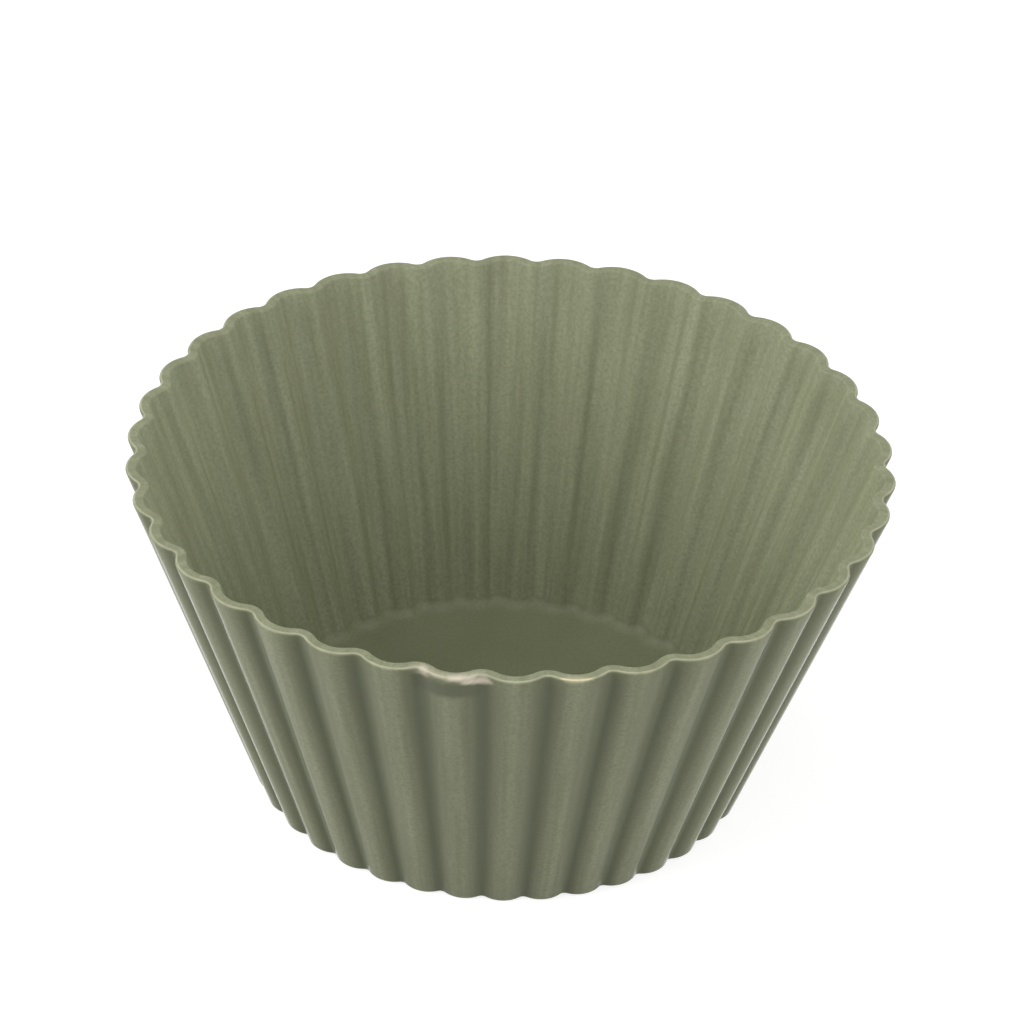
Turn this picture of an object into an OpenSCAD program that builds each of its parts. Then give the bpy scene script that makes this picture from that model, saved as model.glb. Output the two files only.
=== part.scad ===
// Fluted silicone baking cup, moulded in one piece and open at the top.
// The origin is at the centre of the underside, +Z is up, and sizes are in millimetres.

/* [Cup] */
// Diameter at the rim, over the flutes
rim_d = 70; // [56:1:90]
// Diameter at the base, over the flutes
base_d = 46; // [38:1:54]
// Height from the underside to the rim
height = 33; // [22:1:50]

/* [Flutes] */
// Number of flutes around the wall
flutes = 38; // [28:1:44]
// Depth of a flute at the rim, which shrinks with the diameter towards the base
flute_depth = 0.9; // [0.6:0.05:1.5]
// Radius in the bottom of the groove between two flutes, at the rim
groove_r = 0.85; // [0.3:0.05:1.2]

/* [Thickness] */
// Thickness of the fluted wall, square to its surface
wall = 1; // [0.6:0.1:1.5]
// Thickness of the floor
floor_t = 1.2; // [0.8:0.1:3]

/* [Edges] */
// Radius outside, where the wall turns under to the floor
foot_r = 0.5; // [0.2:0.1:1]
// Radius inside, where the floor turns up into the wall
corner_r = 1.5; // [0.5:0.1:2.5]
// Radius on both edges of the rim
rim_r = 0.2; // [0.1:0.05:0.4]

/* [Hidden] */
silicone_green = "#74775F";

// Straight pieces in the arc of one flute, in the arc of one groove, and round each edge.
// Those of a flute and a groove are even, so that a crest and a groove's bottom are corners.
flute_steps = 6;
groove_steps = 4;
foot_steps = 3;
rim_steps = 2;
corner_steps = 3;

// Angle from one flute to the next, how far the wall leans from upright, and its level thickness
pitch = 360 / flutes;
lean = atan((rim_d - base_d) / 2 / height);
wall_across = wall / cos(lean);

// Radius over the flutes at height z
function outside(z) = (base_d + (rim_d - base_d) * z / height) / 2;

// In a level section, a flute is an arc that runs smoothly into the groove arcs on its two sides.
// At height z, its arc has the radius flute_r, and the groove's centre lies groove_at from the axis.
function size_at(z) = 2 * outside(z) / rim_d;
function groove_at(z) = outside(z) - (flute_depth - groove_r) * size_at(z);
function flute_r(z) =
    let (
        crest = outside(z),
        across = groove_at(z) * cos(pitch / 2),
        round = groove_r * size_at(z)
    )
    (crest ^ 2 + groove_at(z) ^ 2 - 2 * crest * across - round ^ 2) / (2 * (round + crest - across));

function polar(radius, angle) = [radius * cos(angle), radius * sin(angle)];

// The fluted outline of the outer wall at height z, moved in by inset, once round from +X
function section(z, inset) =
    let (
        flute_at = outside(z) - flute_r(z),
        reach = groove_at(z),
        meet = atan2(reach * sin(pitch / 2), reach * cos(pitch / 2) - flute_at)
    )
    [
        for (flute = [0:flutes - 1])
            let (
                angle = flute * pitch,
                crest_arc = [
                    for (step = [0:flute_steps])
                        polar(flute_at, angle)
                        + polar(flute_r(z) - inset, angle + meet * (2 * step / flute_steps - 1))
                ],
                groove_arc = [
                    for (step = [1:groove_steps - 1])
                        polar(reach, angle + pitch / 2)
                        + polar(
                            groove_r * size_at(z) + inset,
                            angle + 180 + meet + (pitch - 2 * meet) * step / groove_steps
                        )
                ]
            )
            for (point = concat(crest_arc, groove_arc)) [point.x, point.y, z]
    ];

// Levels round an edge of radius r with its centre at height z, as pairs of height and inset.
// Angles count down from the horizon, so the wall's surface is met at its lean, or half a turn on.
// From the surface at inset start, the edge curls inwards, or outwards where side is -1.
function edge(r, z, start, side, from, to, steps) = [
    for (step = [0:steps])
        let (angle = from + (to - from) * step / steps)
        [z - r * sin(angle), start + side * r * (1 - side * cos(angle - lean)) / cos(lean)]
];

// The rim's edges stay within the wall, and the inner corner within the hollow of a flute
rim_edge_r = min(rim_r, 0.4 * wall);
corner_inset = (1 - sin(lean)) / cos(lean);
corner_edge_r = min(corner_r, 0.9 * (flute_r(floor_t) - wall_across) / corner_inset);

levels = concat(
    edge(foot_r, foot_r, 0, 1, 90, lean, foot_steps),
    edge(rim_edge_r, height - rim_edge_r, 0, 1, lean, -90, rim_steps),
    edge(rim_edge_r, height - rim_edge_r, wall_across, -1, 270, 180 + lean, rim_steps),
    edge(corner_edge_r, floor_t + corner_edge_r, wall_across, 1, lean, 90, corner_steps)
);

// A skin through rings of equal length, closed by the first and the last of them
module loft(rings) {
    around = len(rings[0]);
    last = len(rings) - 1;
    polyhedron(
        points = [for (ring = rings) each ring],
        faces = concat(
            [[for (i = [0:around - 1]) i]],
            [[for (i = [around - 1:-1:0]) last * around + i]],
            [
                for (ring = [0:last - 1], i = [0:around - 1])
                    let (low = ring * around, next = (i + 1) % around)
                    [low + i, low + around + i, low + around + next, low + next]
            ]
        )
    );
}

// The cup, lofted from the underside up the outer wall, over the rim and down to the inner floor
module cup() {
    color(silicone_green) loft([for (level = levels) section(level[0], level[1])]);
}

cup();
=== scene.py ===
"""A fluted silicone baking cup, standing on a white table under soft studio light."""

import math

import bmesh
import bpy
from mathutils import Matrix, Vector


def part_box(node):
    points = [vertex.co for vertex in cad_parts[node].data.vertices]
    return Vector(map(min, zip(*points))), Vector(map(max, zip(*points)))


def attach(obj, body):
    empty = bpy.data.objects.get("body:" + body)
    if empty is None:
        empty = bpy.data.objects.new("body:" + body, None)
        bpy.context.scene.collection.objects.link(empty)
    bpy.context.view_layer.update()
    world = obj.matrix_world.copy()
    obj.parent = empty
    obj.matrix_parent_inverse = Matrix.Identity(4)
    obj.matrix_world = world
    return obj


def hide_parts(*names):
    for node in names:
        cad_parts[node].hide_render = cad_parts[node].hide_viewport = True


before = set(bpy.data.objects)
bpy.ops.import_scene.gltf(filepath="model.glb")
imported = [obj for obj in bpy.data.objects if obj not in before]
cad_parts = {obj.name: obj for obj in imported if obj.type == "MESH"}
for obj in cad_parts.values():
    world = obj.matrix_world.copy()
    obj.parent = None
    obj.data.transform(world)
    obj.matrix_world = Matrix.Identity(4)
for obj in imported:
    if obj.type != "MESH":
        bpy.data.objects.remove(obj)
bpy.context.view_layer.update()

MM = 0.001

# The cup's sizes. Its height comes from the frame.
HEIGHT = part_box("cup")[1].z
RIM_RADIUS = 35 * MM
BASE_RADIUS = 23 * MM
FLUTES = 38
FLUTE_DEPTH = 0.9 * MM
GROOVE_RADIUS = 0.85 * MM
WALL = 1.0 * MM
FLOOR = 1.2 * MM
FOOT_RADIUS = 0.5 * MM
CORNER_RADIUS = 1.5 * MM
RIM_EDGE_RADIUS = 0.2 * MM

# How far the soft wall strays from a true round at the rim, and over what distance
STRAY = 0.12 * MM
STRAY_LENGTH = 22 * MM

# Faces along each stretch of one flute's panel
CREST_STEPS = 16
HALF_GROOVE_STEPS = 4
WALL_STEPS = 14
EDGE_STEPS = 5
CORNER_STEPS = 8
FLOOR_RINGS = 5

PITCH = math.tau / FLUTES
LEAN = math.atan((RIM_RADIUS - BASE_RADIUS) / HEIGHT)
WALL_ACROSS = WALL / math.cos(LEAN)

# The camera, as the photograph shows the cup: a long lens, looking down from the front
CAMERA_DISTANCE = 543.2 * MM
CAMERA_HEIGHT_ANGLE = math.radians(33.65)
CAMERA_TURN = math.radians(2.86)
CAMERA_ROLL = math.radians(2.14)
LENS_PIXELS = 6001.4
FRAME_PIXELS = 1024
RIM_CENTRE_PIXEL = Vector((510.8, 457.2))
SENSOR = 36


def linear(hex_colour):
    """An sRGB hex value as linear RGBA."""
    values = [int(hex_colour[i : i + 2], 16) / 255 for i in (1, 3, 5)]
    return [v / 12.92 if v <= 0.04045 else ((v + 0.055) / 1.055) ** 2.4 for v in values] + [1.0]


def add(tree, kind, inputs=None, **settings):
    """Adds a node with its settings. An input is a value, or the node or socket to link it to."""
    made = tree.nodes.new(kind)
    for name, value in settings.items():
        setattr(made, name, value)
    for name, value in (inputs or {}).items():
        if isinstance(value, bpy.types.Node):
            value = next(socket for socket in value.outputs if socket.enabled)
        if isinstance(value, bpy.types.NodeSocket):
            tree.links.new(value, made.inputs[name])
        else:
            made.inputs[name].default_value = value
    return made


# The shape of one flute


def polar(radius, angle):
    return Vector((radius * math.cos(angle), radius * math.sin(angle)))


def steps(start, end, count):
    return [start + (end - start) * i / count for i in range(count + 1)]


def ease(share):
    """A smooth run from 0 to 1."""
    share = min(max(share, 0.0), 1.0)
    return share * share * (3 - 2 * share)


def flute_section(z, inset):
    """One flute's outline at height z, moved in by inset, from the middle of a groove to the next."""
    crest = BASE_RADIUS + (RIM_RADIUS - BASE_RADIUS) * z / HEIGHT
    size = crest / RIM_RADIUS
    groove_r = GROOVE_RADIUS * size
    groove_at = crest - FLUTE_DEPTH * size + groove_r
    across = groove_at * math.cos(PITCH / 2)
    flute_r = crest**2 + groove_at**2 - 2 * crest * across - groove_r**2
    flute_r /= 2 * (groove_r + crest - across)
    flute_at = crest - flute_r
    meet = math.atan2(groove_at * math.sin(PITCH / 2), across - flute_at)
    half_groove = steps(math.pi + PITCH / 2, math.pi + meet, HALF_GROOVE_STEPS)[:-1]
    left = [polar(groove_at, -PITCH / 2) + polar(groove_r + inset, -a) for a in half_groove]
    middle = [
        Vector((flute_at, 0)) + polar(flute_r - inset, a) for a in steps(-meet, meet, CREST_STEPS)
    ]
    right = [Vector((p.x, -p.y)) for p in reversed(left)]
    return left + middle + right


def edge(radius, z, start, side, angles, count):
    """Heights and insets round an edge, its angles counted down from the horizon."""
    return [
        (
            z - radius * math.sin(a),
            start + side * radius * (1 - side * math.cos(a - LEAN)) / math.cos(LEAN),
        )
        for a in steps(*angles, count)
    ]


def wall_between(low, high, inset):
    """Heights of the straight wall, without its two ends."""
    return [(z, inset) for z in steps(low, high, WALL_STEPS)[1:-1]]


def cup_levels():
    """Heights and insets from the underside up the outer wall, over the rim and down to the floor.

    Also returned is how strongly each level takes the painted highlight on the rim's outer edge.
    """
    upright = math.radians(90)
    foot = edge(FOOT_RADIUS, FOOT_RADIUS, 0, 1, (upright, LEAN), EDGE_STEPS)
    rim_z = HEIGHT - RIM_EDGE_RADIUS
    outer = edge(RIM_EDGE_RADIUS, rim_z, 0, 1, (LEAN, -upright), EDGE_STEPS)
    outer.append((HEIGHT, outer[-1][1] + 0.06 * MM))
    # How strongly each level round the outer edge takes the painted highlight
    edge_highlight = [0.0, 0.0, 0.05, 0.5, 1.0, 0.5, 0.0]
    inner_angles = (3 * upright, math.pi + LEAN)
    inner = edge(RIM_EDGE_RADIUS, rim_z, WALL_ACROSS, -1, inner_angles, EDGE_STEPS)
    corner_z = FLOOR + CORNER_RADIUS
    corner = edge(CORNER_RADIUS, corner_z, WALL_ACROSS, 1, (LEAN, upright), CORNER_STEPS)
    outer_wall = wall_between(foot[-1][0], outer[0][0], 0)
    inner_wall = wall_between(inner[-1][0], corner[0][0], WALL_ACROSS)
    below, above = foot + outer_wall, inner + inner_wall + corner
    return below + outer + above, [0.0] * len(below) + edge_highlight + [0.0] * len(above)


def flute_panel():
    """The wedge of the cup that holds one flute: wall, rim and its share of the floor."""
    levels, edge_highlight = cup_levels()
    rings = [[p.to_3d() + Vector((0, 0, z)) for p in flute_section(z, i)] for z, i in levels]
    shares = steps(0, 1, FLOOR_RINGS)[1:-1]
    under = [[Vector((p.x * s, p.y * s, p.z)) for p in rings[0]] for s in shares]
    inside = [[Vector((p.x * s, p.y * s, p.z)) for p in rings[-1]] for s in reversed(shares)]
    flat, walls = len(under), len(rings)
    edges = [0.0] * flat + edge_highlight + [0.0] * flat
    shape = bmesh.new()
    painted_groove_shade = shape.verts.layers.float.new("painted_groove_shade")
    upright = shape.verts.layers.float.new("upright")
    edge_highlight_layer = shape.verts.layers.float.new("painted_edge_highlight")
    outside = shape.verts.layers.float.new("outside")
    rows = []
    for number, (ring, share) in enumerate(zip(under + rings + inside, edges)):
        row = [shape.verts.new(p) for p in ring]
        for vert in row:
            off_crest = abs(math.atan2(vert.co.y, vert.co.x)) / (PITCH / 2)
            # Painted shade: the outer wall is darkened towards each groove
            if flat < number < flat + edge_highlight.index(1.0):
                vert[painted_groove_shade] = ease((off_crest - 0.05) / 0.85)
            vert[upright] = 1.0 if flat <= number < flat + walls - CORNER_STEPS else 0.0
            # Painted highlight: share of the pale colour painted along the rim's outer edge
            vert[edge_highlight_layer] = share
            vert[outside] = 1.0 if number < flat + edge_highlight.index(1.0) + 3 else 0.0
        rows.append(row)
    for low, high in zip(rows, rows[1:]):
        for a, b, c, d in zip(low, low[1:], high[1:], high):
            shape.faces.new((a, b, c, d))
    for row, z in ((rows[0], 0), (rows[-1], FLOOR)):
        centre = shape.verts.new((0, 0, z))
        for a, b in zip(row, row[1:]):
            shape.faces.new((b, a, centre) if z == 0 else (a, b, centre))
    mesh = bpy.data.meshes.new("flute_panel")
    shape.to_mesh(mesh)
    shape.free()
    return bpy.data.objects.new("flute_panel", mesh)


# The cup, with its flute repeated around the axis


def around_tree(material):
    """Geometry nodes that repeat a panel around Z, join its copies and let the soft wall stray."""
    tree = bpy.data.node_groups.new("flutes_around", "GeometryNodeTree")
    tree.interface.new_socket("Panel", in_out="INPUT", socket_type="NodeSocketGeometry")
    tree.interface.new_socket("Flutes", in_out="INPUT", socket_type="NodeSocketInt")
    for name in ("Height", "Join distance", "Stray", "Stray length"):
        tree.interface.new_socket(name, in_out="INPUT", socket_type="NodeSocketFloat")
    tree.interface.new_socket("Cup", in_out="OUTPUT", socket_type="NodeSocketGeometry")
    given = add(tree, "NodeGroupInput").outputs

    # A copy of the panel at each turn
    turn = add(tree, "ShaderNodeMath", {0: math.tau, 1: given["Flutes"]}, operation="DIVIDE")
    index = add(tree, "GeometryNodeInputIndex")
    angle = add(tree, "ShaderNodeMath", {0: turn, 1: index}, operation="MULTIPLY")
    turned = add(tree, "ShaderNodeCombineXYZ", {"Z": angle})
    points = add(tree, "GeometryNodePoints", {"Count": given["Flutes"], "Radius": 0.0})
    panels = {"Points": points, "Instance": given["Panel"], "Rotation": turned}
    copies = add(tree, "GeometryNodeInstanceOnPoints", panels)
    real = add(tree, "GeometryNodeRealizeInstances", {"Geometry": copies})
    seam = {"Geometry": real, "Distance": given["Join distance"]}
    joined = add(tree, "GeometryNodeMergeByDistance", seam)

    # The wall leans in by a share of the stray, more towards the rim
    place = add(tree, "GeometryNodeInputPosition")
    detail = add(tree, "ShaderNodeMath", {0: 1.0, 1: given["Stray length"]}, operation="DIVIDE")
    sway = add(tree, "ShaderNodeTexNoise", {"Vector": place, "Scale": detail, "Detail": 1.0})
    height = add(tree, "ShaderNodeSeparateXYZ", {0: place}).outputs["Z"]
    share = add(tree, "ShaderNodeMath", {0: height, 1: given["Height"]}, operation="DIVIDE")
    level = add(tree, "ShaderNodeVectorMath", {0: place, 1: (-1, -1, 0)}, operation="MULTIPLY")
    inward = add(tree, "ShaderNodeVectorMath", {0: level}, operation="NORMALIZE")
    most = add(tree, "ShaderNodeMath", {0: share, 1: given["Stray"]}, operation="MULTIPLY")
    reach = add(tree, "ShaderNodeMath", {0: sway, 1: most}, operation="MULTIPLY")
    shift = add(tree, "ShaderNodeVectorMath", {0: inward, "Scale": reach}, operation="SCALE")
    moved = add(tree, "GeometryNodeSetPosition", {"Geometry": joined, "Offset": shift})
    smooth = add(tree, "GeometryNodeSetShadeSmooth", {"Geometry": moved})
    finished = add(tree, "GeometryNodeSetMaterial", {"Geometry": smooth, "Material": material})
    add(tree, "NodeGroupOutput", {"Cup": finished})
    return tree


def make_cup(material):
    """The whole cup as one closed mesh."""
    panel = flute_panel()
    bpy.context.scene.collection.objects.link(panel)
    repeat = panel.modifiers.new("flutes", "NODES")
    repeat.node_group = around_tree(material)
    sizes = {
        "Flutes": FLUTES,
        "Height": HEIGHT,
        "Join distance": 0.004 * MM,
        "Stray": STRAY,
        "Stray length": STRAY_LENGTH,
    }
    for item in repeat.node_group.interface.items_tree:
        if item.name in sizes:
            repeat[item.identifier] = sizes[item.name]
    evaluated = panel.evaluated_get(bpy.context.evaluated_depsgraph_get())
    mesh = bpy.data.meshes.new_from_object(evaluated)
    bpy.data.objects.remove(panel)
    cup = bpy.data.objects.new("cup_silicone", mesh)
    bpy.context.scene.collection.objects.link(cup)
    return cup


# The silicone


def band(tree, value, low, high, fade):
    """1 where the value lies between low and high, with soft ends as long as fade."""
    ends = ((low, 0.0, 1.0), (high, 1.0, 0.0))
    rise, fall = (
        add(
            tree,
            "ShaderNodeMapRange",
            {
                "Value": value,
                "From Min": end - fade / 2,
                "From Max": end + fade / 2,
                "To Min": before,
                "To Max": after,
            },
            interpolation_type="SMOOTHSTEP",
        )
        for end, before, after in ends
    )
    return add(tree, "ShaderNodeMath", {0: rise, 1: fall}, operation="MULTIPLY")


def blot(tree, spot, centre, half_size, strength):
    """A soft round mark on the wall. Its place and half size are in degrees and metres of height."""
    off = add(tree, "ShaderNodeVectorMath", {0: spot, 1: (*centre, 0)}, operation="SUBTRACT")
    unit = {0: off, 1: (*half_size, 1)}
    unit = add(tree, "ShaderNodeVectorMath", unit, operation="DIVIDE")
    far = add(tree, "ShaderNodeVectorMath", {0: unit}, operation="LENGTH")
    edge_off = {"Value": far, "From Min": 0.2, "From Max": 1.25, "To Min": strength, "To Max": 0.0}
    return add(tree, "ShaderNodeMapRange", edge_off, interpolation_type="SMOOTHSTEP")


def moulded_silicone():
    """Platinum-cured silicone rubber, pressed in a satin mould: a soft sheen and no gloss."""
    material = bpy.data.materials.new("moulded_silicone")
    material.use_nodes = True
    tree = material.node_tree
    tree.nodes.clear()
    place = add(tree, "ShaderNodeTexCoord").outputs["Object"]
    painted_groove_shade = add(tree, "ShaderNodeAttribute", attribute_name="painted_groove_shade").outputs["Fac"]
    upright = add(tree, "ShaderNodeAttribute", attribute_name="upright").outputs["Fac"]
    edge_highlight = add(tree, "ShaderNodeAttribute", attribute_name="painted_edge_highlight").outputs["Fac"]
    outside = add(tree, "ShaderNodeAttribute", attribute_name="outside").outputs["Fac"]
    along = add(tree, "ShaderNodeSeparateXYZ", {0: place}).outputs
    turn = add(tree, "ShaderNodeMath", {0: along["Y"], 1: along["X"]}, operation="ARCTAN2")
    degrees = add(tree, "ShaderNodeMath", {0: turn, 1: 180 / math.pi}, operation="MULTIPLY")

    # Pigment clouds about 7 mm across
    cloud = add(tree, "ShaderNodeTexNoise", {"Vector": place, "Scale": 1 / (7 * MM), "Detail": 3.0})
    patches = {"Factor": cloud, "A": linear("#73775B"), "B": linear("#84876D")}
    patches = add(tree, "ShaderNodeMix", patches, data_type="RGBA")

    # Flow streaks 0.7 mm wide, drawn out up the wall, which the mould leaves in the rubber
    level = add(tree, "ShaderNodeVectorMath", {0: place, 1: (1, 1, 0)}, operation="MULTIPLY")
    ring = add(tree, "ShaderNodeVectorMath", {0: level}, operation="NORMALIZE")
    upward = add(tree, "ShaderNodeVectorMath", {0: place, 1: (0, 0, 0.04)}, operation="MULTIPLY")
    mean = (RIM_RADIUS + BASE_RADIUS) / 2
    drawn = {0: ring, 1: (mean, mean, mean), 2: upward}
    drawn = add(tree, "ShaderNodeVectorMath", drawn, operation="MULTIPLY_ADD")
    streak = add(tree, "ShaderNodeTexNoise", {"Vector": drawn, "Scale": 1 / (0.7 * MM)})
    streak = {"Value": streak, "From Min": 0.3, "From Max": 0.7, "To Max": 0.95}
    streak = add(tree, "ShaderNodeMapRange", streak)
    streak = add(tree, "ShaderNodeMath", {0: streak, 1: upright}, operation="MULTIPLY")
    streaked = {"Factor": streak, "A": patches, "B": linear("#8F9378")}
    streaked = add(tree, "ShaderNodeMix", streaked, data_type="RGBA")

    # Specks of filler, drawn 0.3 mm wide, as coarse as they need to show
    speck = add(tree, "ShaderNodeTexNoise", {"Vector": place, "Scale": 1 / (0.3 * MM)})
    fleck = {"Value": speck, "From Min": 0.35, "From Max": 0.75, "To Max": 0.55}
    fleck = add(tree, "ShaderNodeMapRange", fleck)
    flecked = {"Factor": fleck, "A": streaked, "B": linear("#6A6E54")}
    flecked = add(tree, "ShaderNodeMix", flecked, data_type="RGBA")

    # Painted shade: the grooves are darkened towards their bottoms, leaving the crests lighter
    groove_shade_share = add(tree, "ShaderNodeMath", {0: painted_groove_shade, 1: 0.85}, operation="MULTIPLY")
    shaded = {"Factor": groove_shade_share, "A": flecked, "B": linear("#595E46")}
    shaded = add(tree, "ShaderNodeMix", shaded, data_type="RGBA")

    # Painted highlight along the rim's rounded outer edge, pale and broken up by noise
    highlight_breakup = add(tree, "ShaderNodeTexNoise", {"Vector": place, "Scale": 1 / (1.2 * MM)})
    highlight_breakup = {"Value": highlight_breakup, "From Min": 0.3, "From Max": 0.65, "To Min": 0.5, "To Max": 0.95}
    highlight_breakup = add(tree, "ShaderNodeMapRange", highlight_breakup)
    edge_highlight_share = add(tree, "ShaderNodeMath", {0: edge_highlight, 1: highlight_breakup}, operation="MULTIPLY")
    edged = {"Factor": edge_highlight_share, "A": shaded, "B": linear("#A9A98F")}
    edged = add(tree, "ShaderNodeMix", edged, data_type="RGBA")

    # Marks wander from their places by up to 0.15 mm and 0.4 degrees
    cloudy = {"Vector": place, "Scale": 1 / (1.3 * MM), "Detail": 3.0}
    cloudy = add(tree, "ShaderNodeTexNoise", cloudy).outputs["Color"]
    centred = {0: cloudy, 1: (0.5, 0.5, 0.5)}
    centred = add(tree, "ShaderNodeVectorMath", centred, operation="SUBTRACT")
    spot = add(tree, "ShaderNodeCombineXYZ", {"X": degrees, "Y": along["Z"]})
    spot = {0: centred, 1: (1.6, 0.6 * MM, 0), 2: spot}
    spot = add(tree, "ShaderNodeVectorMath", spot, operation="MULTIPLY_ADD")
    spots = add(tree, "ShaderNodeSeparateXYZ", {0: spot}).outputs

    # A darker band under the rim at one flute
    across = band(tree, spots["X"], -100.6, -90.3, 1.0)
    down = band(tree, spots["Y"], HEIGHT - 2.7 * MM, HEIGHT - 0.7 * MM, 0.9 * MM)
    dark_band = add(tree, "ShaderNodeMath", {0: across, 1: down}, operation="MULTIPLY")
    most = add(tree, "ShaderNodeMath", {0: outside, 1: 0.9}, operation="MULTIPLY")
    dark_band = add(tree, "ShaderNodeMath", {0: dark_band, 1: most}, operation="MULTIPLY")
    banded = {"Factor": dark_band, "A": edged, "B": linear("#5A5E48")}
    banded = add(tree, "ShaderNodeMix", banded, data_type="RGBA")

    # A floury smear above it, over the rim and a little down the wall, in five overlapping dabs
    smear = 0.0
    for centre, depth, wide, tall, strength in (
        (-97.0, 0.0, 4.6, 0.4, 0.35),
        (-98.7, 0.2, 1.4, 0.75, 0.65),
        (-93.5, 0.2, 2.0, 0.5, 0.9),
        (-91.8, 0.42, 2.1, 0.52, 1.0),
        (-90.2, 0.62, 1.8, 0.55, 1.0),
    ):
        dab = blot(tree, spot, (centre, HEIGHT - depth * MM), (wide, tall * MM), strength)
        smear = add(tree, "ShaderNodeMath", {0: smear, 1: dab}, operation="MAXIMUM")
    thin = {"Value": cloudy, "From Min": 0.3, "From Max": 0.6, "To Min": 0.7}
    thin = add(tree, "ShaderNodeMapRange", thin)
    smear = add(tree, "ShaderNodeMath", {0: smear, 1: thin}, operation="MULTIPLY")
    smear = add(tree, "ShaderNodeMath", {0: smear, 1: outside}, operation="MULTIPLY")
    smeared = {"Factor": smear, "A": banded, "B": linear("#D4CAB7")}
    smeared = add(tree, "ShaderNodeMix", smeared, data_type="RGBA")

    # A trace of batter on the edge, two flutes on
    trace = band(tree, spots["X"], -78.7, -74.2, 1.2)
    trace = add(tree, "ShaderNodeMath", {0: trace, 1: edge_highlight}, operation="MULTIPLY")
    halo = blot(tree, spot, (-76.5, HEIGHT), (2.4, 0.55 * MM), 0.3)
    halo = add(tree, "ShaderNodeMath", {0: halo, 1: outside}, operation="MULTIPLY")
    trace = add(tree, "ShaderNodeMath", {0: trace, 1: halo}, operation="MAXIMUM")
    colour = {"Factor": trace, "A": smeared, "B": linear("#D8CBA8")}
    colour = add(tree, "ShaderNodeMix", colour, data_type="RGBA")

    # Satin all over and dry under the smear, but at a glance the skin outside mirrors the room in
    # thin lines
    satin = add(tree, "ShaderNodeMapRange", {"Value": cloud, "To Min": 0.46, "To Max": 0.54})
    satin = add(tree, "ShaderNodeMath", {0: smear, 1: 0.25, 2: satin}, operation="MULTIPLY_ADD")
    facing = add(tree, "ShaderNodeLayerWeight").outputs["Facing"]
    glance = {"Value": facing, "From Min": 0.7, "From Max": 0.96, "To Max": 0.85}
    glance = add(tree, "ShaderNodeMapRange", glance, interpolation_type="SMOOTHSTEP")
    glance = add(tree, "ShaderNodeMath", {0: glance, 1: outside}, operation="MULTIPLY")
    grain = {"Strength": 0.12, "Distance": 0.03 * MM, "Height": speck}
    grain = add(tree, "ShaderNodeBump", grain)
    rubber = {
        "Base Color": colour,
        "Roughness": satin,
        "IOR": 1.41,
        "Specular IOR Level": 0.3,
        "Subsurface Weight": 0.05,
        "Subsurface Radius": (1.0, 1.0, 0.7),
        "Subsurface Scale": 0.5 * MM,
        "Coat Weight": glance,
        "Coat Roughness": 0.1,
        "Coat IOR": 1.41,
        "Normal": grain,
    }
    rubber = add(tree, "ShaderNodeBsdfPrincipled", rubber)
    add(tree, "ShaderNodeOutputMaterial", {"Surface": rubber})
    return material


# The studio


def seen(tree):
    """1 for the rays that show a thing to the camera, straight, mirrored or through glass."""
    ray = add(tree, "ShaderNodeLightPath").outputs
    mirrored = {0: ray["Is Glossy Ray"], 1: ray["Is Transmission Ray"]}
    mirrored = add(tree, "ShaderNodeMath", mirrored, operation="MAXIMUM")
    return add(tree, "ShaderNodeMath", {0: ray["Is Camera Ray"], 1: mirrored}, operation="MAXIMUM")


def make_floor():
    """A pale table top that keeps the cup's shadow."""
    bpy.ops.mesh.primitive_plane_add(size=4)
    floor = bpy.context.object
    floor.name = "table_top"
    floor.location.z = -0.02 * MM
    material = bpy.data.materials.new("white_card")
    material.use_nodes = True
    tree = material.node_tree
    tree.nodes.clear()
    card = add(tree, "ShaderNodeBsdfDiffuse", {"Color": linear("#AEAEAE")})
    lift = add(tree, "ShaderNodeMath", {0: seen(tree), 1: 0.74}, operation="MULTIPLY")
    white = add(tree, "ShaderNodeEmission", {"Strength": lift})
    lifted = add(tree, "ShaderNodeAddShader", {0: card, 1: white})
    add(tree, "ShaderNodeOutputMaterial", {"Surface": lifted})
    floor.data.materials.append(material)


def make_world():
    """White all round, at a plain level on the cup."""
    world = bpy.data.worlds.new("white_room")
    bpy.context.scene.world = world
    world.use_nodes = True
    tree = world.node_tree
    tree.nodes.clear()
    level = add(tree, "ShaderNodeMapRange", {"Value": seen(tree), "To Min": 0.33, "To Max": 1.0})
    room = add(tree, "ShaderNodeBackground", {"Strength": level})
    add(tree, "ShaderNodeOutputWorld", {"Surface": room})


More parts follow.
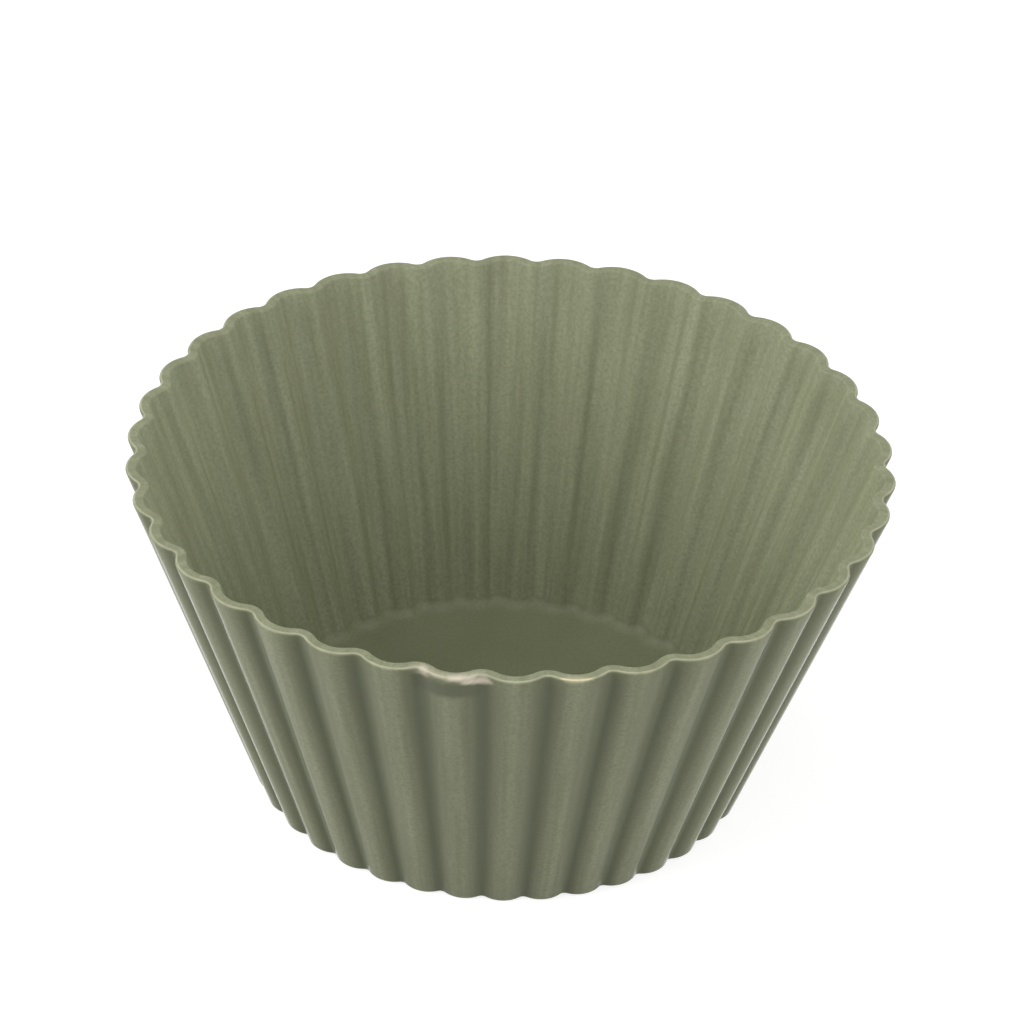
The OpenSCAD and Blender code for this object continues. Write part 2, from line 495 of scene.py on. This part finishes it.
def soft_box(name, turn, rise, distance, side, power):
    """A square lamp that faces the cup, turned about it from the front and raised by an angle."""
    lamp = bpy.data.lights.new(name, "AREA")
    lamp.size = side
    lamp.energy = power
    box = bpy.data.objects.new(name, lamp)
    bpy.context.scene.collection.objects.link(box)
    target = Vector((0, 0, HEIGHT / 2))
    turn, rise = math.radians(turn), math.radians(rise)
    away = Vector((math.sin(turn) * math.cos(rise), -math.cos(turn) * math.cos(rise), math.sin(rise)))
    box.location = target + distance * away
    box.rotation_euler = away.to_track_quat("Z", "Y").to_euler()


def make_camera():
    """The photograph's view, aimed so that the rim's centre falls on its pixel."""
    camera = bpy.data.objects.new("camera", bpy.data.cameras.new("camera"))
    bpy.context.scene.collection.objects.link(camera)
    camera.data.sensor_width = SENSOR
    camera.data.lens = LENS_PIXELS / FRAME_PIXELS * SENSOR
    camera.data.clip_start = 10 * MM
    rise, turn = CAMERA_HEIGHT_ANGLE, CAMERA_TURN
    away = Vector((math.sin(turn) * math.cos(rise), -math.cos(turn) * math.cos(rise), math.sin(rise)))
    facing = away.to_track_quat("Z", "Y").to_matrix()
    level = RIM_CENTRE_PIXEL - Vector((FRAME_PIXELS / 2, FRAME_PIXELS / 2))
    aim = Matrix.Rotation(level.x / LENS_PIXELS, 3, "Y") @ Matrix.Rotation(level.y / LENS_PIXELS, 3, "X")
    rotation = facing @ Matrix.Rotation(CAMERA_ROLL, 3, "Z") @ aim
    place = Vector((0, 0, HEIGHT)) + CAMERA_DISTANCE * away
    camera.matrix_world = Matrix.Translation(place) @ rotation.to_4x4()
    bpy.context.scene.camera = camera


make_camera()
cup = make_cup(moulded_silicone())
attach(cup, "root")
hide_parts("cup")

make_floor()
make_world()
soft_box("left_box", turn=-66, rise=30, distance=0.8, side=0.6, power=5.8)
soft_box("right_box", turn=54, rise=26, distance=0.8, side=0.6, power=3.9)
soft_box("back_left_box", turn=-130, rise=18, distance=0.8, side=0.6, power=1.5)
soft_box("back_right_box", turn=130, rise=18, distance=0.8, side=0.6, power=1.7)
soft_box("top_box", turn=0, rise=75, distance=0.8, side=0.6, power=1.5)
bpy.context.scene.view_settings.view_transform = "Standard"
